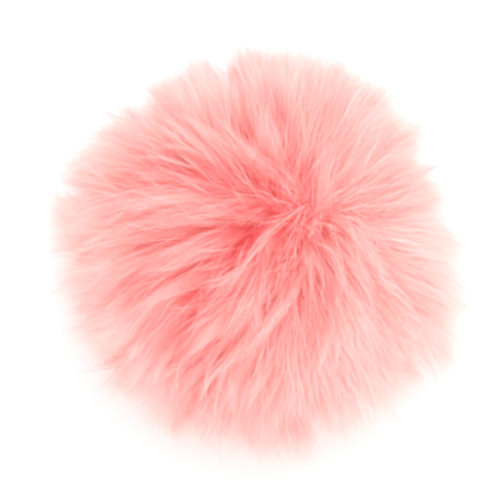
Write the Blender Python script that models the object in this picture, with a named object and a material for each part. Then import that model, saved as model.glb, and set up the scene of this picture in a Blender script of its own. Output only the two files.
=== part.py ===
"""A long-pile pom pom, at rest on a surface.

One solid: a stuffed backing ball with tapering locks of pile fused to it at their roots.
The locks part at a crown near the top and are combed away from it. Below, they are shorter
and splayed, and their ends rest level on the surface around a small flat spot.
"""

import math
from collections import namedtuple

import bmesh
import bpy
import numpy as np
from mathutils import Vector

# Sizes in metres. The origin is in the middle of the flat spot, on the surface.
PILE_RADIUS = 0.0575  # from the ball's middle to the ends of the longest locks
BACKING_RADIUS = 0.0385  # the stuffed ball, with the densest pile on it
MIDDLE_HEIGHT = 0.045  # the ball's middle above the surface

# The net of roots on the backing: each triangle carries a lock, but for those round the
# lowest point, which are joined and carry the flat spot.
NET_POINTS = 152
NET_STRAY = 0.03  # radians that a net point lies off its even place
GOLDEN_ANGLE = math.pi * (3 - math.sqrt(5))

# A section of a lock: how far along it lies from root to end, its width as a share of the
# net's face, and how even its corners are, from 0, as in the net, to 1, all as near as the
# nearest of them.
Section = namedtuple("Section", "along width evenness")
LOCK_SECTIONS = (
    Section(along=0.00, width=0.94, evenness=0.0),
    Section(along=0.35, width=0.92, evenness=0.1),
    Section(along=0.66, width=0.82, evenness=0.3),
    Section(along=0.88, width=0.54, evenness=0.6),
    Section(along=1.00, width=0.10, evenness=1.0),
)
FLAT_SPOT_SECTIONS = (
    Section(along=0.00, width=0.92, evenness=0.0),
    Section(along=1.00, width=0.75, evenness=0.5),
)

# A lock: its face's corners on the unit ball, its length as a share of the pile's depth,
# and how far its end strays from straight out, in radians.
Lock = namedtuple("Lock", "corners length stray")
SHORTEST_LOCK = 0.78
LONGEST_LOCK = 1.00
LOCK_STRAY = 0.04
STRAY_POWER = 3  # a lock strays mostly near its end

# The comb turns the locks' ends by about these angles, in radians.
CROWN_TILT = math.radians(19.5)  # the crown's lean from straight up
CROWN_HEADING = math.radians(30)  # the way that it leans, from +X towards +Y
LEAN_FROM_CROWN = 0.26
SPLAY_FROM_BELOW = 0.26
SWIRL_ABOUT_CROWN = 0.12
COMB_POWER = 1.5  # above 1, so that a lock leaves its root straight and then bends

UP = Vector((0, 0, 1))
CROWN = Vector(
    (
        math.sin(CROWN_TILT) * math.cos(CROWN_HEADING),
        math.sin(CROWN_TILT) * math.sin(CROWN_HEADING),
        math.cos(CROWN_TILT),
    )
)
MIDDLE = UP * MIDDLE_HEIGHT

PILE_COLOUR = (0.955, 0.330, 0.320, 1.0)  # coral pink
PILE_ROUGHNESS = 0.9
SHARP_EDGE = math.radians(50)
FIRST_INSET = 0.01  # on the unit ball: it only makes the faces, which are then put in place
SEED = 7


def clear_scene():
    for obj in list(bpy.data.objects):
        bpy.data.objects.remove(obj, do_unlink=True)


def net_directions(random):
    """Unit vectors along a golden-angle spiral from straight up to straight down, each but
    the first and the last a little off its place."""
    step = np.arange(NET_POINTS)
    height = 1 - 2 * step / (NET_POINTS - 1)
    across = np.sqrt(1 - height**2)
    turn = GOLDEN_ANGLE * step
    points = np.column_stack([across * np.cos(turn), across * np.sin(turn), height])
    points[1:-1] += random.uniform(-NET_STRAY, NET_STRAY, (NET_POINTS - 2, 3))
    return points / np.linalg.norm(points, axis=1, keepdims=True)


def root_net(random):
    """The closed net of triangles between the root directions, on the unit ball."""
    net = bmesh.new()
    for direction in net_directions(random):
        net.verts.new(direction)
    bmesh.ops.convex_hull(net, input=net.verts)
    bmesh.ops.recalc_face_normals(net, faces=net.faces)
    return net


def combed(direction, depth):
    """A direction once combed: turned away from the crown in the upper part and away from
    straight down in the lower part, and swirled about the crown. The turn grows with the
    depth of pile passed, from 0 at the backing to 1 at the pile's edge."""
    near_crown = (0.5 + 0.5 * direction.dot(CROWN)) ** 2
    near_surface = (0.5 - 0.5 * direction.z) ** 2
    turned = direction + depth**COMB_POWER * (
        -LEAN_FROM_CROWN * near_crown * CROWN
        + SPLAY_FROM_BELOW * near_surface * UP
        + SWIRL_ABOUT_CROWN * CROWN.cross(direction)
    )
    return turned.normalized()


def pile_edge(direction):
    """How far the pile reaches from the middle: the ball's radius, or the surface if nearer."""
    if direction.z < -MIDDLE_HEIGHT / PILE_RADIUS:
        return MIDDLE_HEIGHT / -direction.z
    return PILE_RADIUS


def place(direction, depth):
    """The point at this share of the pile's depth, along a hair with this root direction."""
    direction = combed(direction, depth)
    pile = pile_edge(direction) - BACKING_RADIUS
    return MIDDLE + direction * (BACKING_RADIUS + depth * pile)


def plan_lock(face, random):
    """A lock of random length and stray, or of the full length where it rests on the surface."""
    corners = [vert.co.copy() for vert in face.verts]
    middle = sum(corners, Vector()).normalized()
    stray = Vector(random.uniform(-LOCK_STRAY, LOCK_STRAY, 3))
    length = random.uniform(SHORTEST_LOCK, LONGEST_LOCK)
    if pile_edge(combed(middle, 1)) < PILE_RADIUS:
        length = 1.0
    return Lock(corners, length, stray)


def set_section(face, lock, section):
    """Puts a lock's end face at this section: the net's face, drawn in and moved out."""
    middle = sum(lock.corners, Vector()) / len(lock.corners)
    shift = lock.stray * section.along**STRAY_POWER
    nearest = min((corner - middle).length for corner in lock.corners)
    for vert, corner in zip(face.verts, lock.corners):
        spoke = corner - middle
        spoke = spoke.lerp(spoke.normalized() * nearest, section.evenness)
        drawn_in = middle + spoke * section.width + shift
        vert.co = place(drawn_in.normalized(), section.along * lock.length)


def grow(net, faces, locks, sections):
    """Insets each face at its root and extrudes it through the sections. A face keeps its
    lock's number in a layer, because an extrusion returns its faces in its own order."""
    number = net.faces.layers.int["lock"]
    bmesh.ops.inset_individual(net, faces=faces, thickness=FIRST_INSET)
    for section in sections:
        if section.along > 0:
            faces = bmesh.ops.extrude_discrete_faces(net, faces=faces)["faces"]
        for face in faces:
            set_section(face, locks[face[number]], section)


def flat_spot_face(net):
    """The faces round the net's lowest point, made one."""
    lowest = min(net.verts, key=lambda vert: vert.co.z)
    return bmesh.ops.dissolve_faces(net, faces=lowest.link_faces)["region"][0]


def make_pile(random):
    """The pom pom's mesh: backing, locks and flat spot in one closed surface."""
    net = root_net(random)
    number = net.faces.layers.int.new("lock")
    flat_spot = flat_spot_face(net)
    locks = []
    for face in net.faces:
        face[number] = len(locks)
        locks.append(plan_lock(face, random))
    backing_corners = list(net.verts)
    grow(net, [face for face in net.faces if face != flat_spot], locks, LOCK_SECTIONS)
    grow(net, [flat_spot], locks, FLAT_SPOT_SECTIONS)
    for vert in backing_corners:
        vert.co = place(vert.co.copy(), 0)
    mesh = bpy.data.meshes.new("pom_pom")
    net.to_mesh(mesh)
    net.free()
    return mesh


def pile_material():
    material = bpy.data.materials.new("coral_pile")
    material.use_nodes = True
    shader = material.node_tree.nodes["Principled BSDF"]
    shader.inputs["Base Color"].default_value = PILE_COLOUR
    shader.inputs["Roughness"].default_value = PILE_ROUGHNESS
    shader.inputs["Metallic"].default_value = 0.0
    return material


clear_scene()
pile = make_pile(np.random.default_rng(SEED))
pile.shade_smooth()
pile.set_sharp_from_angle(angle=SHARP_EDGE)
pile.materials.append(pile_material())
pom_pom = bpy.data.objects.new("pom_pom", pile)
bpy.context.scene.collection.objects.link(pom_pom)
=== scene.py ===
"""A coral-pink pom pom of long combed pile, at rest on a pale floor and seen from nearly
above. The pile is laid hair by hair, crown up, over a stuffed ball."""

import bpy
import numpy as np
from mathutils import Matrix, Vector


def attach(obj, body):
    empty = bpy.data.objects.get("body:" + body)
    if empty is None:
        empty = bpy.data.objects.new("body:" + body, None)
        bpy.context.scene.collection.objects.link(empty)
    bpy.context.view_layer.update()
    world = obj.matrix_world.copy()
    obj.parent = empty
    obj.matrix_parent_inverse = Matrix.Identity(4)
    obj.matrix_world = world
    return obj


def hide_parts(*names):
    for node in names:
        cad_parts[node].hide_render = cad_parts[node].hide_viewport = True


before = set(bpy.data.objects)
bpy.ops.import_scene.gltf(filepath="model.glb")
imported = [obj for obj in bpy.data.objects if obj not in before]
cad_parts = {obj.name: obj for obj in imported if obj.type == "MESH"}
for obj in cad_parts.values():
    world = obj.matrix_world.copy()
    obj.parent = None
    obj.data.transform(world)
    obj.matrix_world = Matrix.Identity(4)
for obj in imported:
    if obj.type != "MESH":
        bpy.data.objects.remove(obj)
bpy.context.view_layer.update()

# ---------------------------------------------------------------------------------------
# The stuffed ball: long-pile cloth gathered over a round filling and drawn shut below.
# Its pile side is out, so that short coral fuzz is all that shows of it between the roots.
# ---------------------------------------------------------------------------------------

ball_radius = 0.0400
ball_middle = np.array([0.0, 0.0, 0.0450])
up = np.array([0.0, 0.0, 1.0])


class Wire:
    """An output socket in a look. Sums and products with it become the look's Math nodes."""

    def __init__(self, look, socket):
        self.look = look
        self.socket = socket

    def math(self, operation, other):
        return self.look.node("ShaderNodeMath", {"operation": operation}, self, other)

    def __add__(self, other):
        return self.math("ADD", other)

    def __mul__(self, other):
        return self.math("MULTIPLY", other)

    __radd__ = __add__
    __rmul__ = __mul__


class Look:
    """The look of a new material or world, whose nodes are all made by one method."""

    def __init__(self, owner):
        owner.use_nodes = True
        owner.node_tree.nodes.clear()
        self.owner = owner
        self.tree = owner.node_tree

    def node(self, kind, settings, *values, output=0, **named):
        """Adds a node, makes its settings and then gives its sockets, by place or by name,
        their values or wires. Returns the wire of one output, or the owner after the last."""
        made = self.tree.nodes.new(kind)
        stops = settings.pop("stops", [])
        for setting, value in settings.items():
            setattr(made, setting, value)
        for number, (place, colour) in enumerate(stops):
            ramp = made.color_ramp.elements
            element = ramp[number] if number < len(ramp) else ramp.new(place)
            element.position, element.color = place, (*colour, 1)
        for name, value in [*enumerate(values), *named.items()]:
            socket = made.inputs[name.replace("_", " ") if isinstance(name, str) else name]
            if isinstance(value, Wire):
                self.tree.links.new(value.socket, socket)
            elif value is not None:
                socket.default_value = value
        return Wire(self, made.outputs[output]) if made.outputs else self.owner

    def blend(self, share, first, second):
        """The colour this share of the way from the first to the second."""
        skipped = [None] * 5
        mix = {"data_type": "RGBA"}
        return self.node("ShaderNodeMix", mix, share, *skipped, first, second, output=2)


def gathered_ball(rows, turns):
    """The ball's surface. A row's angle from straight up runs from 0 to 180 degrees, a
    point's turn about the upright round the circle, and the radius swells and sinks by
    0.6 mm with crossed sine waves of both, as gathered cloth does."""
    down = np.linspace(0, np.pi, rows + 1)[1:-1, None]
    turn = np.linspace(0, 2 * np.pi, turns, endpoint=False)[None, :]
    waves = np.sin(9 * turn + 3 * np.sin(5 * down)) * np.sin(7 * down + 2 * np.cos(3 * turn))
    way = np.stack(
        np.broadcast_arrays(
            np.sin(down) * np.cos(turn), np.sin(down) * np.sin(turn), np.cos(down)
        ),
        axis=-1,
    )
    grid = way * (ball_radius + 0.0006 * waves)[..., None]
    points = np.concatenate([grid.reshape(-1, 3), ball_radius * np.stack([up, -up])])
    index = np.arange((rows - 1) * turns).reshape(rows - 1, turns)
    beside = np.roll(index, -1, axis=1)
    quads = np.stack([index[:-1], index[1:], beside[1:], beside[:-1]], axis=-1).reshape(-1, 4)
    above, below = np.full(turns, len(points) - 2), np.full(turns, len(points) - 1)
    caps = np.concatenate(
        [
            np.stack([above, index[0], beside[0]], axis=-1),
            np.stack([below, beside[-1], index[-1]], axis=-1),
        ]
    )
    mesh = bpy.data.meshes.new("stuffed_ball")
    mesh.from_pydata(points + ball_middle, [], [*quads.tolist(), *caps.tolist()])
    mesh.shade_smooth()
    return mesh


def coral_fuzz():
    """Short coral fuzz: flecks of two shades, paler on the ball's sides and below with painted
    light.
    """
    look = Look(bpy.data.materials.new("coral_fuzz"))
    place = look.node("ShaderNodeTexCoord", {}, output=3)
    fleck = look.node("ShaderNodeTexNoise", {}, Vector=place, Scale=900.0, Detail=3.0)
    patch = look.node("ShaderNodeTexNoise", {}, Vector=place, Scale=120.0, Detail=2.0)
    height = look.node("ShaderNodeSeparateXYZ", {}, place, output=2)
    # Painted light: the fuzz pales from near the top down to the sides and below.
    side = look.node("ShaderNodeMapRange", {}, height, 0.076, 0.058, 0.0, 1.0)
    mottle = 0.6 * fleck + 0.4 * patch
    flecked = look.blend(mottle, (0.997, 0.28, 0.31, 1), (0.997, 0.42, 0.43, 1))
    colour = look.blend(side, flecked, (0.99, 0.60, 0.59, 1))
    raised = look.node("ShaderNodeBump", {}, Strength=0.8, Distance=0.001, Height=fleck)
    cloth = look.node("ShaderNodeBsdfPrincipled", {}, colour, Roughness=0.95, Normal=raised)
    return look.node("ShaderNodeOutputMaterial", {}, cloth)


stuffed_ball = bpy.data.objects.new("stuffed_ball", gathered_ball(60, 120))
stuffed_ball.data.materials.append(coral_fuzz())
bpy.context.scene.collection.objects.link(stuffed_ball)
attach(stuffed_ball, "root")
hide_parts("pom_pom")

# ---------------------------------------------------------------------------------------
# The soft pile: fine curved hairs of coral-pink yarn, paler towards their ends. They are
# rooted all over the ball in some hundreds of tufts, each of which leans its own way, and
# combed away from a crown near the top.
# ---------------------------------------------------------------------------------------

random = np.random.default_rng(21)
photo_centre = np.array([263, 253])  # where the photograph's 500 pixels show the ball's middle
pixel = 0.1375 / 500
camera_distance = 0.9
view_rise = np.radians(76)  # the camera's angle above the floor
toward_camera = np.array([0.0, -np.cos(view_rise), np.sin(view_rise)])
image_right = np.array([1.0, 0.0, 0.0])
image_up = np.cross(toward_camera, image_right)


def unit(vectors):
    """The vectors, each divided by its length."""
    return vectors / np.maximum(np.linalg.norm(vectors, axis=-1, keepdims=True), 1e-9)


def eased(low, high, values):
    """0 below low, 1 above high and 3s^2 - 2s^3 between, s being the share of the way."""
    share = np.clip((values - low) / (high - low), 0, 1)
    return share * share * (3 - 2 * share)


def seen_at(places, radius):
    """The points of a sphere of this radius about the ball's middle that the photograph
    shows at these places, across and down, in its 500 pixels. A point that is nearer to the
    camera than the middle shows distance / (distance - nearness) larger."""
    aside = (np.asarray(places, float) - photo_centre) * [pixel, -pixel]
    nearness = np.zeros(aside.shape[:-1])
    for _ in range(4):
        true = aside * (1 - nearness / camera_distance)[..., None]
        nearness = np.sqrt(np.maximum(radius**2 - np.sum(true**2, axis=-1), 0))
    flat = true[..., :1] * image_right + true[..., 1:] * image_up
    return ball_middle + flat + nearness[..., None] * toward_camera


crown = unit(seen_at((305, 205), ball_radius) - ball_middle)
crown_end = unit(seen_at((284, 215), ball_radius) - ball_middle)
right_of_crown = unit(np.cross([0, 1, 0], crown))

# How the pile lies, by its root's angle from the crown in degrees: how hard it is combed
# away from the crown, against a hair's own stiffness, and how long it is in metres.
comb_table = {
    "angle": (0, 6, 15, 30, 55, 80, 105, 135, 180),
    "pull": (0.0, 0.60, 1.10, 1.35, 1.25, 0.90, 0.50, 0.20, 0.0),
    "length": (0.0165, 0.0195, 0.0245, 0.0285, 0.0300, 0.0285, 0.0245, 0.021, 0.017),
}
# Where the comb strayed, in the photograph: across, down, how far round, and which way.
sways = (
    (290, 345, 85, -0.50, 0.00),
    (120, 262, 70, 0.00, -0.18),
    (175, 130, 60, 0.12, 0.22),
    (330, 150, 60, -0.20, 0.05),
)
root_depth = 0.0010  # below the ball's surface
grow_steps = 12


def roots(count, crowding, stray):
    """Root directions along a golden-angle spiral about the crown. Its rows are crowded
    near the crown, by 1 + crowding * (half of 1 + height)^3, and each root is moved by a
    random stray, in spacings."""
    height = np.linspace(1, -1, 2001)
    passed = (1 - height) + crowding * (1 - ((1 + height) / 2) ** 4) / 2
    step = np.arange(count) + 0.5
    height = np.interp(step / count * passed[-1], passed, height)
    across = np.sqrt(1 - height**2)
    turn = np.pi * (3 - np.sqrt(5)) * step
    points = (
        height[:, None] * crown
        + (across * np.cos(turn))[:, None] * right_of_crown
        + (across * np.sin(turn))[:, None] * np.cross(crown, right_of_crown)
    )
    return unit(points + random.normal(0, stray * 2 / np.sqrt(count), points.shape))


def meander(places):
    """A slow change of direction over the pile: the sum of twelve sine waves of place, each
    along its own random vector and shifting along another, half of them twice as close."""
    waves = np.random.default_rng(5).normal(0, 1, (12, 2, 3))
    closeness = np.repeat([50, 110], 6)[:, None]
    phases = places @ (waves[:, 0] * closeness).T + np.arange(12)
    return np.sin(phases) @ waves[:, 1] / 3.5


def swayed(places):
    """The comb's strays at these places: each of them times exp(-(distance / reach)^2)."""
    total = 0
    for across, down, reach, right, above in sways:
        gap = np.linalg.norm(places - seen_at((across, down), 0.050), axis=-1, keepdims=True)
        stray = right * image_right + above * image_up
        total = total + np.exp(-((gap / reach / pixel) ** 2)) * stray
    return total


def nearest_on_parting(out):
    """The nearest direction to each on the short line along which the crown parts: the
    ends of the line blended by how far along it the direction lies, from 0 to 1."""
    line = crown_end - crown
    share = np.clip((out - crown) @ line / (line @ line), 0, 1)[:, None]
    return unit(crown + share * line)


def from_parting(directions):
    """Each direction's angle from the crown's line, in degrees."""
    cosine = np.sum(directions * nearest_on_parting(directions), axis=1)
    return np.degrees(np.arccos(np.clip(cosine, -1, 1)))


def grown(directions, lengths, leans):
    """The hairs' paths. A hair sets out from its root and at each step goes along the unit
    sum of: straight out of the ball, the comb's pull away from the crown, the splay away
    from straight down, the slow meander, its own lean, and its droop. All but the first
    come on along the hair. On the floor it goes on level."""
    angle = from_parting(directions)
    pull = np.interp(angle, comb_table["angle"], comb_table["pull"])[:, None]
    place = ball_middle + directions * (ball_radius - root_depth)
    path = [place]
    for step in range(grow_steps):
        along = (step + 0.5) / grow_steps
        out = unit(place - ball_middle)
        parting = nearest_on_parting(out)
        from_crown = unit(out * np.sum(out * parting, axis=1, keepdims=True) - parting)
        from_below = np.clip(-out[:, 2:] - 0.25, 0, 1) * (up - out * out[:, 2:])
        bend = 0.25 + 0.75 * along
        sway = pull * from_crown + 1.5 * from_below + 0.38 * meander(place) + swayed(place)
        way = unit(out + bend * (sway + leans - 0.10 * up))
        place = place + way * lengths[:, None] / grow_steps
        floor = 0.0004 + 0.0010 * np.abs(np.sin(9000 * directions[:, 0] + step * 0.1))
        place[:, 2] = np.maximum(place[:, 2], floor)
        path.append(place)
    return np.stack(path, axis=1)


def trimmed(path):
    """The paths, drawn in where they reach further than 55 mm from the ball's middle: the
    rest of the way out, w, becomes 8 mm * tanh(w / 8 mm). On the floor they stop at it."""
    way = path - ball_middle
    out = np.linalg.norm(way, axis=-1, keepdims=True)
    beyond = np.maximum(out - 0.055, 0)
    path = ball_middle + way * (out - beyond + 0.008 * np.tanh(beyond / 0.008)) / out
    path[..., 2] = np.maximum(path[..., 2], 0.0004)
    return path


def lean_aside(directions, amount):
    """A random lean along the ball's surface, of about this amount, and more on the crown,
    where the hairs cross: 0.25 * exp(-(angle from the crown / 9 degrees)^2)."""
    crossing = 0.25 * np.exp(-((from_parting(directions) / 9) ** 2))[:, None]
    lean = random.normal(0, 1, directions.shape) * (amount + crossing)
    return lean - directions * np.sum(lean * directions, axis=1, keepdims=True)


def towards_rim(directions, sooner=0):
    """From 0 on the upper side of the ball to 1 at the rim that the camera sees: eased from
    30 to 75 degrees off the way to the camera, or this many degrees sooner."""
    facing = np.degrees(np.arccos(np.clip(directions @ toward_camera, -1, 1)))
    return eased(30, 75, facing + sooner)


def crispness(directions):
    """How crisply the hairs cling in locks: 1 to the left of the crown, down to 0.1 on the
    other side, and 70% less at the rim, where the pile is fluffed out."""
    combed_side = unit(-0.9 * image_right - 0.1 * image_up)
    side = eased(-0.40, 0.30, directions @ combed_side)
    return (0.10 + 0.90 * side) * (1 - 0.7 * towards_rim(directions))


def painted_light(directions):
    """How much painted light pales the hairs: up to 0.64 more to the right of the crown, as if
    lit from there, and of what is left to 1 up to 0.80 more at the rim, sooner at its top, as
    if lit through the thin pile there."""
    side = eased(-0.1, 0.9, directions @ unit(0.85 * image_right - 0.40 * image_up))
    further_up = 14 * np.clip(directions @ image_up, 0, 1)
    return 1 - (1 - 0.64 * side) * (1 - 0.80 * towards_rim(directions, further_up))


def nearest(directions, centres):
    """The number of each direction's nearest centre."""
    parts = np.array_split(directions, 60)
    return np.concatenate([np.argmax(part @ centres.T, axis=1) for part in parts])


# The notches and tufts of the rim: degrees round the photograph from its right side towards
# its foot, half width in degrees, and the share by which the pile there is shorter or longer.
rim_forms = (
    (17, 9, 0.04),
    (31, 10, -0.24),
    (50, 5, 0.06),
    (64, 7, -0.06),
    (79, 8, -0.20),
    (95, 6, 0.06),
    (112, 6, -0.05),
    (129, 6, 0.06),
    (149, 10, -0.14),
    (185, 10, 0.07),
    (200, 5, -0.08),
    (211, 6, 0.08),
    (229, 7, -0.12),
    (240, 5, 0.20),
    (255, 9, -0.30),
    (270, 5, 0.10),
    (281, 5, -0.18),
    (293, 7, 0.08),
    (311, 6, -0.07),
)


def pile_length(directions):
    """The pile's length at each root: by its angle from the crown, less 5% at the lower left
    and 16% at the rim, with the rim's forms added, each of them its share times
    exp(-(angle / half width)^2). It is also uneven by the sum of nine sine waves, each
    along its own random vector, which lies mostly across the view."""
    usual = np.interp(from_parting(directions), comb_table["angle"], comb_table["length"])
    waves = np.random.default_rng(8).normal(0, 17, (9, 3))
    waves -= 0.85 * (waves @ toward_camera)[:, None] * toward_camera
    lower_left = eased(0.1, 0.9, directions @ unit(-0.5 * image_right - 0.85 * image_up))
    round_rim = np.degrees(np.arctan2(-directions @ image_up, directions @ image_right))
    forms = -0.16
    for place, half_width, share in rim_forms:
        gap = (round_rim - place + 180) % 360 - 180
        forms = forms + share * np.exp(-((gap / half_width) ** 2))
    rim = towards_rim(directions)
    ragged = (0.06 + 0.04 * rim) * np.sin(directions @ waves.T + np.arange(9)).sum(axis=1)
    return usual * (1 - 0.05 * lower_left + forms * rim + ragged)


# The partings, where the pile opens down to its deep coral roots: from across and down to
# across and down in the photograph, width, openness, and the depth of the painted shade there.
partings = (
    (234, 191, 178, 170, 12, 1.0, 0.35),
    (202, 190, 132, 188, 5, 0.6, 0.20),
    (172, 222, 118, 231, 5, 0.6, 0.20),
    (274, 217, 222, 206, 9, 0.6, 0.30),
    (272, 228, 226, 234, 10, 0.9, 0.30),
    (256, 240, 224, 262, 11, 0.8, 0.28),
    (248, 248, 234, 268, 9, 0.8, 0.22),
    (224, 247, 204, 272, 7, 0.7, 0.25),
    (214, 278, 194, 300, 9, 0.8, 0.30),
    (201, 303, 168, 343, 14, 0.8, 0.35),
    (163, 271, 130, 292, 7, 0.7, 0.25),
    (252, 150, 238, 128, 15, 0.7, 0.25),
    (286, 142, 270, 114, 9, 0.7, 0.20),
    (292, 168, 284, 156, 9, 0.6, 0.18),
    (290, 201, 256, 170, 9, 0.4, 0.12),
    (316, 200, 304, 186, 12, 0.5, 0.30),
    (182, 140, 162, 132, 8, 0.6, 0.15),
    (332, 241, 320, 234, 9, 0.6, 0.20),
    (300, 226, 300, 252, 5, 0.6, 0.12),
    (312, 244, 322, 292, 9, 0.6, 0.20),
    (273, 294, 264, 313, 7, 0.6, 0.20),
    (320, 300, 302, 328, 14, 0.3, 0.15),
    (345, 288, 356, 312, 7, 0.5, 0.15),
    (368, 327, 378, 346, 6, 0.5, 0.10),
    (274, 348, 258, 374, 7, 0.5, 0.12),
)
parting_radius = 0.046


def parting_axes(row):
    """A parting's middle, way along and way aside, and its half length and half width."""
    ends = seen_at(np.reshape(row[:4], (2, 2)), parting_radius)
    middle = ends.mean(axis=0)
    out = unit(middle - ball_middle)
    along = unit(ends[1] - ends[0])
    half_length = np.linalg.norm(ends[1] - ends[0]) / 2
    return middle, along, np.cross(out, along), half_length, row[4] * pixel / 2


def parted(path):
    """The paths, pushed away from each parting's line: sideways of it, by
    width * openness * tanh(4 aside) * exp(-(aside / 2.2)^2), in half widths, which falls off
    beyond its ends as exp(-(beyond)^2) and grows with the height over the ball."""
    for row in partings:
        middle, line, side, half_length, half_width = parting_axes(row)
        gap = path - middle
        aside, beyond = gap @ side / half_width, gap @ line / half_length
        risen = eased(0.036, 0.043, np.linalg.norm(path - ball_middle, axis=-1))
        push = np.tanh(4 * aside) * np.exp(-((aside / 2.2) ** 2) - beyond**2) * risen
        near = np.sum(gap * (middle - ball_middle), axis=-1) > -0.0008
        path = path + (row[5] * half_width * push * near)[..., None] * side
    return path


def painted_parting_shade(path):
    """How much painted shade deepens the coral at each place, for the partings near it: their
    depth times exp(-(aside / 2)^2 - (beyond / 1.1)^2)."""
    depth = np.zeros(path.shape[:-1])
    for row in partings:
        middle, line, side, half_length, half_width = parting_axes(row)
        gap = path - middle
        aside, beyond = gap @ side / half_width, gap @ line / half_length
        near = np.sum(gap * (middle - ball_middle), axis=-1) > -0.0008
        depth += row[6] * np.exp(-((aside / 2) ** 2) - (beyond / 1.1) ** 2) * near
    return depth


def hair_mesh(name, path, radii, tone):
    """Closed three-sided tapering hairs. At each station but the last a ring of three
    corners stands square to the path, radii from it; the last is the hair's point. On the
    map, v is the tone at each station, from deep to pale, and u differs from hair to hair."""
    count, rings = path.shape[0], path.shape[1] - 1
    way = unit(np.gradient(path, axis=1))
    curl = np.cross(path[:, -1] - path[:, 0], path[:, 0] - ball_middle)[:, None]
    side = unit(np.cross(way, np.cross(unit(curl + 1e-7), way)))
    fore = np.cross(way, side)
    turn = random.uniform(0, 2 * np.pi, (count, 1, 1, 1)) + np.radians([0, 120, 240])[:, None]
    spoke = side[:, :rings, None] * np.cos(turn) + fore[:, :rings, None] * np.sin(turn)
    corners = path[:, :rings, None] + radii[:, :rings, None, None] * spoke
    points = np.concatenate([corners.reshape(count, rings * 3, 3), path[:, -1:]], axis=1)

    ring = 3 * np.arange(rings - 1)[:, None]
    edge, after = np.array([[0, 1, 2]]), np.array([[1, 2, 0]])
    sides = np.stack([ring + edge, ring + after, ring + 3 + after, ring + 3 + edge], axis=-1)
    last = 3 * (rings - 1)
    point = np.stack([last + edge[0], last + after[0], np.full(3, last + 3)], axis=-1)
    first = (np.arange(count) * (last + 4))[:, None, None]
    quads = (first + sides.reshape(1, -1, 4)).reshape(-1, 4)
    triangles = (first + np.concatenate([point, [[2, 1, 0]]])[None]).reshape(-1, 3)
    mesh = bpy.data.meshes.new(name)
    mesh.from_pydata(points.reshape(-1, 3), [], [*quads.tolist(), *triangles.tolist()])

    v = np.concatenate([np.repeat(tone[:, :-1], 3, axis=1), tone[:, -1:]], axis=1)
    v = 0.02 + 0.96 * np.clip(v, 0, 1)
    u = random.uniform(0.05, 0.95, (count, 1)) + np.append(np.tile([-0.004, 0, 0.004], rings), 0)
    uv = np.stack([u, v], axis=-1).reshape(-1, 2)
    order = np.concatenate([quads.ravel(), triangles.ravel()])
    layer = mesh.uv_layers.new(name="OFBake")
    layer.data.foreach_set("uv", uv[order].astype(np.float32).ravel())
    mesh.shade_flat()
    return mesh


def hair_colouring():
    """Yarn coloured from deep coral to nearly white along the map's v, which carries its dye
    together with painted light and painted shade, in two shades, of which the map's u gives
    each hair a blend. Half of the light goes through it. Its faint red
    glow is the light that passes between the hairs more often than the render follows."""
    look = Look(bpy.data.materials.new("coral_pile"))
    chart = look.node("ShaderNodeUVMap", {"uv_map": "OFBake"})
    hair = look.node("ShaderNodeSeparateXYZ", {}, chart)
    tone = look.node("ShaderNodeSeparateXYZ", {}, chart, output=1)
    pinker = ((0.0, (0.998, 0.36, 0.39)), (0.5, (0.999, 0.74, 0.73)), (1.0, (1.0, 0.93, 0.91)))
    warmer = ((0.0, (0.998, 0.37, 0.38)), (0.5, (0.999, 0.76, 0.73)), (1.0, (1.0, 0.95, 0.92)))
    pink = look.node("ShaderNodeValToRGB", {"stops": pinker}, tone)
    warm = look.node("ShaderNodeValToRGB", {"stops": warmer}, tone)
    colour = look.blend(hair, pink, warm)
    glow = {"Emission_Color": (1.0, 0.06, 0.08, 1), "Emission_Strength": 0.04}
    finish = {"Roughness": 0.7, "Specular_IOR_Level": 0.1, **glow}
    skin = look.node("ShaderNodeBsdfPrincipled", {}, colour, **finish)
    through = look.node("ShaderNodeBsdfTranslucent", {}, colour)
    yarn = look.node("ShaderNodeMixShader", {}, 0.5, skin, through)
    return look.node("ShaderNodeOutputMaterial", {}, yarn)


def stations(count, rings):
    """Each hair's stations from 0 at its root to 1 at its point, the ones between moved by
    up to a third of a step, so that the hairs' slight corners don't fall in line."""
    even = np.arange(rings + 1) / rings
    moved = random.uniform(-0.33, 0.33, (count, rings + 1)) / rings
    moved[:, [0, -1]] = 0
    return even + moved


def along_paths(paths, numbers, shares):
    """The points at these shares of the numbered paths, straight between their steps."""
    step = np.minimum((shares * grow_steps).astype(int), grow_steps - 1)
    rest = (shares * grow_steps - step)[..., None]
    numbers = numbers[:, None]
    return paths[numbers, step] * (1 - rest) + paths[numbers, step + 1] * rest


def lay(name, path, shares, thickness, taper, directions, shade):
    """One piece of laid hairs. Its tone runs evenly from root to point, both of them paler
    with painted light, and is deepest in the partings with painted shade, half as much so at
    the points."""
    count = len(path)
    # Painted light: roots and points paler to the right of the crown and at the rim.
    pale = painted_light(directions)[:, None]
    root_tone, point_tone = 0.46 + 0.38 * pale, 0.70 + 0.18 * pale
    tone = root_tone + (point_tone - root_tone) * shares + shade[:, None]
    # Painted shade in and over the partings, half as strong at the points.
    tone = tone - painted_parting_shade(path) * (1 - 0.5 * shares)
    radii = random.uniform(*thickness, (count, 1)) * np.array(taper)
    laid = bpy.data.objects.new(name, hair_mesh(name, trimmed(path), radii, tone))
    laid.data.materials.append(pile_colouring)
    bpy.context.scene.collection.objects.link(laid)
    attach(laid, "root")


def hold(directions):
    """How far a tuft draws its hairs to its own path: by 0.25, by 0.48 more at the rim, and
    by 0.12 more below it, where it eases off from 80 to 110 degrees off the camera's way."""
    facing = np.degrees(np.arccos(np.clip(directions @ toward_camera, -1, 1)))
    more = 0.48 * towards_rim(directions) * (1 - 0.75 * eased(80, 110, facing))
    return 0.25 + more[:, None, None]


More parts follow.
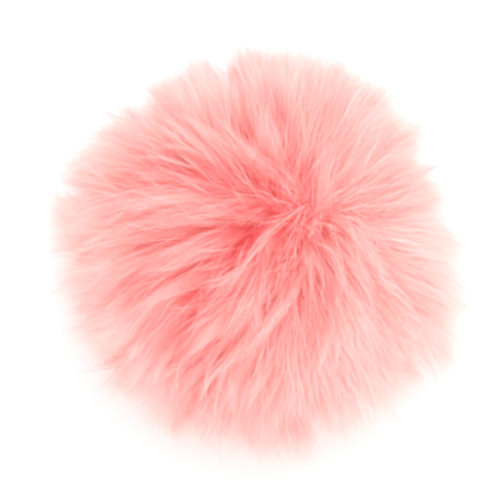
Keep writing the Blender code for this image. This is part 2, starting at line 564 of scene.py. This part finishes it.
pile_colouring = hair_colouring()
tufts = roots(380, 0.0, 0.45)
tuft_length = random.uniform(0.80, 1.16, len(tufts))
tuft_lean = lean_aside(tufts, 0.35) * (0.5 + 0.5 * crispness(tufts))[:, None]
tuft_shade = random.normal(0, 0.03, len(tufts))
tuft_path = grown(tufts, pile_length(tufts) * tuft_length, tuft_lean)

soft_count = 37500
soft_roots = roots(soft_count, 0.0, 0.8)
soft_tuft = nearest(soft_roots, tufts)
hold_along = eased(0.1, 1.0, np.linspace(0, 1, grow_steps + 1))[:, None]
soft_zones = np.array_split(np.arange(soft_count), 3)
for zone, hairs in zip(("at_crown", "on_sides", "below"), soft_zones):
    directions, tuft, count = soft_roots[hairs], soft_tuft[hairs], len(hairs)
    share = random.uniform(0, 1, count) ** (1 - 0.75 * towards_rim(directions))
    length = pile_length(directions) * tuft_length[tuft] * (0.55 + 0.51 * share)
    loose = 1 - crispness(directions)[:, None]
    lean = 0.7 * tuft_lean[tuft] + lean_aside(directions, 0.22 + 0.42 * loose)
    whole = grown(directions, length, lean)
    whole += (tuft_path[tuft] - whole) * hold_along * hold(directions)
    shares = stations(count, 2)
    path = parted(along_paths(whole, np.arange(count), shares))
    path += random.normal(0, 0.0005, path.shape) * (shares * (1 + loose))[..., None]
    # The soft pile is 0.07 deeper under crisp locks, painted shade where it shows between them;
    # the rest is random tone.
    shade = tuft_shade[tuft] - 0.07 * crispness(directions) + random.normal(0, 0.015, count)
    fuller = towards_rim(directions)[:, None] ** 2 * (0, 0.35, 0)
    taper = np.array((1, 0.75, 0)) + fuller
    lay("soft_pile_" + zone, path, shares, (0.00005, 0.00008), taper, directions, shade)

# ---------------------------------------------------------------------------------------
# The wisps: longer hairs of the same yarn, which cling together in slender pointed locks
# over the soft pile, crisply to the left of the crown and loosely on the other side.
# ---------------------------------------------------------------------------------------

random = np.random.default_rng(34)
wisp_count, wisp_hairs = 2300, 29000
wisps = roots(wisp_count, 0.3, 0.6)
wisp_tuft = nearest(wisps, tufts)
wisp_length = pile_length(wisps) * tuft_length[wisp_tuft] * random.uniform(0.78, 1.06, wisp_count)
wisp_longer = random.uniform(0, 1, wisp_count) < 0.12
wisp_length *= 1 + wisp_longer * (0.25 - 0.15 * towards_rim(wisps))
wisp_crisp = crispness(wisps)
wisp_lean = 0.7 * tuft_lean[wisp_tuft] + lean_aside(wisps, 0.22 + 0.16 * wisp_crisp[:, None])
wisp_path = grown(wisps, wisp_length, wisp_lean)
wisp_path += (tuft_path[wisp_tuft] - wisp_path) * hold_along * (hold(wisps) - 0.25)
wisp_width = random.uniform(0.0012, 0.0028, wisp_count)
wisp_closing = 0.15 + 1.05 * (1 - wisp_crisp) * random.uniform(0.6, 1.0, wisp_count)
wisp_fray = 0.0006 + 0.0032 * (1 - wisp_crisp)
wisp_shade = tuft_shade[wisp_tuft] + 0.06 * wisp_crisp
wisp_shade += random.normal(0, 0.02, wisp_count) * (1 + 5 * wisp_crisp)


def drawn_together(paths, bundle, reached, width, closing, fray):
    """Hairs beside the paths of their bundles. Where a hair has reached the share s of its
    bundle's path, it lies off it by its own random aside, of about the bundle's width, which
    closes as 1 - (1 - closing) * s^1.3, and by a random fray, which grows as s^2."""
    middle = along_paths(paths, bundle, reached)
    out = unit(paths[bundle, grow_steps // 2] - ball_middle)
    across = unit(np.cross(out, paths[bundle, -1] - paths[bundle, 0]))
    along = np.cross(across, out)
    spread = random.normal(0, 0.5, (len(bundle), 3)) * width[bundle, None]
    aside = spread[:, :1] * across + spread[:, 1:2] * along + 0.4 * spread[:, 2:] * out
    closed = 1 - (1 - closing[bundle, None]) * reached**1.3
    path = middle + aside[:, None] * closed[..., None]
    frayed = random.normal(0, 1, (len(bundle), 1)) * fray[bundle, None]
    path += (frayed * across)[:, None] * (reached**2)[..., None]
    path += random.normal(0, 0.00015, path.shape) * reached[..., None]
    return path


fullness = random.uniform(0.5, 1.5, wisp_count)
hair_wisp = np.sort(random.choice(wisp_count, wisp_hairs, p=fullness / fullness.sum()))
hair_share = 1 - 0.5 * random.uniform(0, 1, wisp_hairs) ** 1.5
for zone, hairs in zip(("above", "on_sides", "below"), np.array_split(np.arange(wisp_hairs), 3)):
    wisp = hair_wisp[hairs]
    shares = stations(len(hairs), 3)
    reached = hair_share[hairs, None] * shares
    path = parted(drawn_together(wisp_path, wisp, reached, wisp_width, wisp_closing, wisp_fray))
    shade = wisp_shade[wisp] + random.normal(0.04, 0.012, len(hairs))
    fuller = towards_rim(wisps[wisp])[:, None] ** 2 * (0, 0.1, 0.3, 0)
    taper = np.array((1, 0.9, 0.6, 0)) + fuller
    lay("wisps_" + zone, path, shares, (0.00005, 0.00008), taper, wisps[wisp], shade)

# ---------------------------------------------------------------------------------------
# The plumes: the largest locks of the same yarn, combed out over the others where the
# photograph shows them, and those that stand out of the rim.
# ---------------------------------------------------------------------------------------

random = np.random.default_rng(55)
# Across and down in the photograph at a plume's root, middle and point, its width there and
# how closely it is drawn together at its point.
plumes = np.array(
    [
        (292, 212, 258, 244, 229, 290, 8, 0.10),
        (262, 214, 190, 210, 112, 240, 20, 0.40),
        (244, 230, 182, 254, 120, 292, 18, 0.30),
        (216, 266, 165, 292, 119, 318, 12, 0.10),
        (236, 198, 176, 198, 112, 208, 14, 0.30),
        (262, 176, 210, 134, 170, 109, 14, 0.10),
        (285, 182, 245, 150, 214, 112, 14, 0.30),
        (322, 218, 326, 180, 340, 126, 14, 0.90),
        (282, 176, 264, 130, 250, 88, 14, 0.50),
        (304, 262, 280, 312, 233, 364, 9, 0.10),
        (272, 258, 242, 308, 218, 352, 18, 0.30),
        (246, 290, 212, 332, 176, 366, 12, 0.08),
        (214, 286, 158, 336, 128, 392, 12, 0.30),
        (318, 300, 328, 338, 313, 378, 9, 0.08),
        (262, 318, 232, 358, 209, 382, 9, 0.10),
        (284, 332, 258, 384, 242, 414, 14, 0.20),
        (335, 312, 338, 345, 333, 376, 7, 0.10),
        (338, 292, 348, 330, 356, 360, 7, 0.10),
        (326, 236, 358, 268, 378, 314, 16, 0.30),
        (340, 226, 372, 256, 394, 302, 10, 0.20),
        (316, 240, 338, 264, 342, 296, 12, 0.20),
        (210, 154, 172, 110, 146, 79, 20, 0.30),
        (187, 171, 132, 138, 80, 132, 12, 0.20),
        (271, 141, 268, 92, 261, 55, 24, 0.50),
        (316, 155, 340, 96, 336, 65, 22, 0.40),
        (363, 203, 420, 174, 441, 165, 12, 0.20),
        (254, 365, 252, 428, 258, 458, 20, 0.50),
        (221, 357, 202, 414, 196, 441, 12, 0.30),
        (370, 285, 434, 318, 451, 330, 14, 0.40),
        (304, 357, 326, 420, 330, 438, 12, 0.30),
        (207, 350, 177, 418, 174, 436, 12, 0.30),
    ],
    float,
)


def pile_top(places):
    """How far from the ball's middle the pile reaches at these places of the photograph:
    51 mm on the crown, and 3.6 mm * (gap / 110)^1.5 more at this gap from it in pixels."""
    gap = np.linalg.norm(np.asarray(places, float) - (304, 206), axis=-1)
    return 0.0508 + 0.0036 * np.minimum(gap / 110, 1.3) ** 1.5


def curved(start, middle, end):
    """The parabolas through these points: at the share s of the way they are at
    (1 - s)^2 * start + 2 s (1 - s) * pull + s^2 * end, where the pull lies as far beyond
    the middle as the middle lies beyond halfway from start to end."""
    share = np.linspace(0, 1, grow_steps + 1)[:, None]
    pull = 2 * middle - 0.5 * (start + end)
    return (
        (1 - share) ** 2 * start[:, None]
        + 2 * share * (1 - share) * pull[:, None]
        + share**2 * end[:, None]
    )


plume_root = seen_at(plumes[:, 0:2], ball_radius - root_depth)
plume_bend = seen_at(plumes[:, 2:4], pile_top(plumes[:, 2:4]))
plume_point = seen_at(plumes[:, 4:6], pile_top(plumes[:, 4:6]) + 0.0010)
plume_width = plumes[:, 6] * pixel / 1.2
plume_count = plumes[:, 6] * np.where(np.arange(len(plumes)) < 21, 6, 9)
plume_hairs = np.repeat(np.arange(len(plumes)), plume_count.astype(int))
shares = stations(len(plume_hairs), 4)
plume_reached = shares * (1 - 0.65 * random.uniform(0, 1, (len(plume_hairs), 1)) ** 1.3)
plume_path = curved(plume_root, plume_bend, plume_point)
plume_fray = 0.0030 * plumes[:, 7]
path = drawn_together(
    plume_path, plume_hairs, plume_reached, plume_width, plumes[:, 7], plume_fray
)
plume_out = unit(plume_bend - ball_middle)[plume_hairs]
shade = 0.12 - 0.010 * plumes[plume_hairs, 6] - 0.15 * (plume_hairs >= 21)
shade += random.normal(0, 0.02, len(plume_hairs))
lay("plumes", path, shares, (0.00005, 0.00008), (1, 0.9, 0.7, 0.4, 0), plume_out, shade)

# ---------------------------------------------------------------------------------------
# The stray strands: pale crisp ones of the same yarn, a few hairs thick, which have slipped
# over the others and cross them, and deep ones laid as painted shade where a crease opens.
# Some of them knot together on the crown.
# ---------------------------------------------------------------------------------------

random = np.random.default_rng(89)
strand_count = 1000
strand_roots = roots(2 * strand_count, 0.2, 1.0)
strand_roots = strand_roots[strand_roots @ toward_camera > -0.3]
likely = crispness(strand_roots) ** 2
strand_roots = strand_roots[
    random.choice(len(strand_roots), strand_count, replace=False, p=likely / likely.sum())
]
strand_length = pile_length(strand_roots) * random.uniform(0.80, 1.05, strand_count)
strand_path = grown(strand_roots, strand_length, lean_aside(strand_roots, 0.42))
lifted = 0.0022 * np.sin(np.linspace(0, 0.6 * np.pi, grow_steps + 1))[:, None]
strand_path += lifted * unit(strand_path - ball_middle)
# Over a quarter of the strands are deep coral: painted shade along creases.
strand_crease_shade = random.uniform(0, 1, strand_count) < 0.28

# Across and down in the photograph at a strand's root, middle and point.
knot = np.array(
    [
        (306, 204, 284, 220, 222, 270),
        (304, 206, 276, 226, 248, 248),
        (302, 209, 297, 218, 292, 228),
        (306, 210, 292, 200, 286, 194),
        (300, 206, 276, 216, 252, 218),
        (292, 214, 270, 222, 246, 222),
        (296, 200, 284, 186, 262, 168),
        (312, 206, 312, 186, 309, 166),
        (305, 212, 300, 230, 298, 252),
        (298, 196, 282, 192, 266, 182),
        (300, 214, 288, 230, 268, 254),
        (292, 206, 276, 200, 254, 196),
        (304, 201, 308, 192, 306, 180),
        (286, 222, 262, 244, 240, 272),
        (296, 222, 286, 244, 272, 270),
    ],
    float,
)
knot_places = knot.reshape(-1, 3, 2)
knot_points = seen_at(knot_places, pile_top(knot_places) + np.array((-0.0010, 0.0004, 0.0008)))
knot_path = curved(knot_points[:, 0], knot_points[:, 1], knot_points[:, 2])
strand_path = np.concatenate([strand_path, knot_path])
strand_crease_shade = np.append(strand_crease_shade, np.zeros(len(knot), bool))
strand_width = random.uniform(0.0003, 0.0007, len(strand_path))
strand_width[-len(knot) :] *= 0.6
strand_closing = np.full(len(strand_path), 0.1)
strand_fray = np.full(len(strand_path), 0.0003)
strand_out = unit(strand_path[:, 6] - ball_middle)
# The crease strands take tone -0.36, painted shade; the others are pale.
strand_tone = np.where(strand_crease_shade, -0.36, 0.22 + random.normal(0, 0.06, len(strand_path)))
strand_tone[-len(knot) :] = -0.14
strand_hairs = np.repeat(np.arange(len(strand_path)), 4)
shares = stations(len(strand_hairs), 3)
reached = shares * (1 - 0.35 * random.uniform(0, 1, (len(strand_hairs), 1)))
path = drawn_together(
    strand_path, strand_hairs, reached, strand_width, strand_closing, strand_fray
)
out, shade = strand_out[strand_hairs], strand_tone[strand_hairs]
lay("stray_strands", path, shares, (0.00005, 0.00008), (1, 0.9, 0.6, 0), out, shade)

# ---------------------------------------------------------------------------------------
# The floor, the light and the camera: a plain pale floor in a room of even white light,
# a little brighter above and to the right, and the camera where the photograph's was.
# ---------------------------------------------------------------------------------------

floor_mesh = bpy.data.meshes.new("floor")
reach = 6.0
floor_corners = [(-reach, -reach, 0), (reach, -reach, 0), (reach, reach, 0), (-reach, reach, 0)]
floor_mesh.from_pydata(floor_corners, [], [(0, 1, 2, 3)])
floor_look = Look(bpy.data.materials.new("pale_floor"))
pale = (0.92, 0.92, 0.92, 1)
floor_paint = floor_look.node("ShaderNodeBsdfPrincipled", {}, pale, Roughness=0.9)
floor_mesh.materials.append(floor_look.node("ShaderNodeOutputMaterial", {}, floor_paint))
floor = bpy.data.objects.new("floor", floor_mesh)
bpy.context.scene.collection.objects.link(floor)

room = Look(bpy.data.worlds.new("soft_room"))
way_out = room.node("ShaderNodeTexCoord", {})
slope, dot = (0.13, -0.04, 0.16), {"operation": "DOT_PRODUCT"}
strength = 0.90 + room.node("ShaderNodeVectorMath", dot, way_out, slope, output=1)
light = room.node("ShaderNodeBackground", {}, (1, 1, 1, 1), strength)
bpy.context.scene.world = room.node("ShaderNodeOutputWorld", {}, light)
bpy.context.scene.world.cycles.sampling_method = "NONE"

camera_data = bpy.data.cameras.new("camera")
camera_data.sensor_width = 36
camera_data.lens = 36 * camera_distance / (500 * pixel)
camera = bpy.data.objects.new("camera", camera_data)
off_centre = (250 - photo_centre) * pixel
aim = ball_middle + off_centre[0] * image_right - off_centre[1] * image_up
camera.location = aim + toward_camera * camera_distance
camera.rotation_euler = Vector(toward_camera).to_track_quat("Z", "Y").to_euler()
bpy.context.scene.collection.objects.link(camera)
bpy.context.scene.camera = camera
bpy.context.scene.view_settings.view_transform = "Standard"
bpy.context.scene.view_settings.exposure = 0.60
bpy.context.scene.cycles.filter_width = 2.6
bpy.context.scene.cycles.max_bounces = 12
bpy.context.scene.cycles.diffuse_bounces = 12
bpy.context.scene.cycles.transmission_bounces = 12
